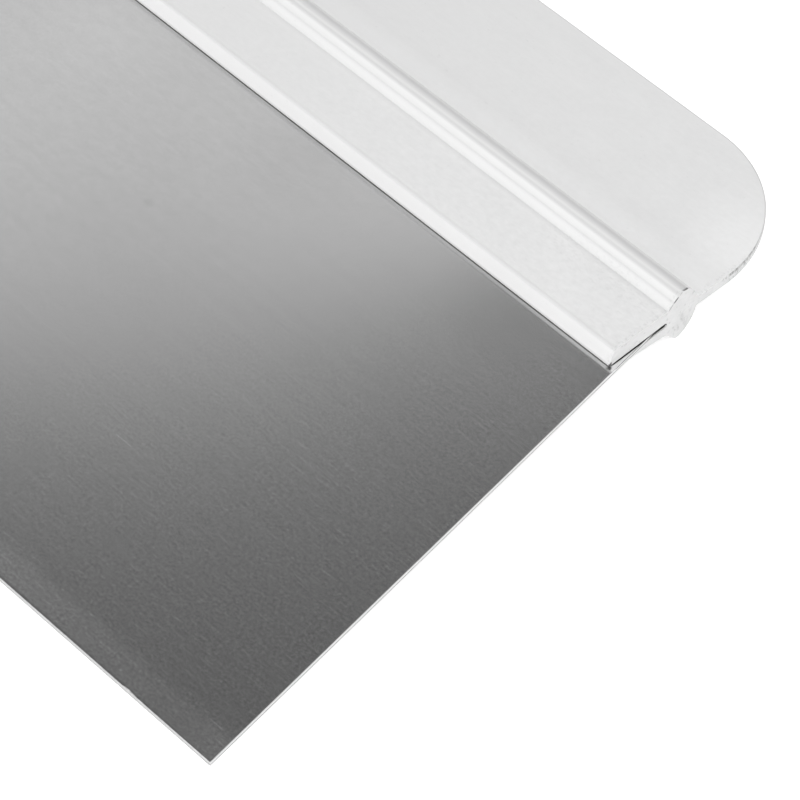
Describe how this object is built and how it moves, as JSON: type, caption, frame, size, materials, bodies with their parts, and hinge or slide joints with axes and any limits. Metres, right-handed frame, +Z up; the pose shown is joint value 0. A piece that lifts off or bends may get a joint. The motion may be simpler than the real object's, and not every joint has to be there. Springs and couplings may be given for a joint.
{
  "type": "wide smoothing spatula",
  "caption": "Wide flat spatula: a flared stainless blade held along its rear edge in an extruded aluminium handle with a ribbed bead and a round-cornered grip plate.",
  "frame": {"origin": "middle of the footprint, at the height of the lowest point of the handle", "axes": "+X along the working edge, -Y towards the working edge, +Y towards the grip, +Z up out of the blade's upper face"},
  "size_m": [0.3, 0.121, 0.009],
  "materials": {
    "handle": "satin, as extruded, sawn at the ends",
    "blade": "brushed along the working edge",
    "bond": "cured adhesive"
  },
  "bodies": {
    "root": {"handle_profile": "handle", "blade": "blade", "bond_film": "bond"}
  },
  "joints": []
}
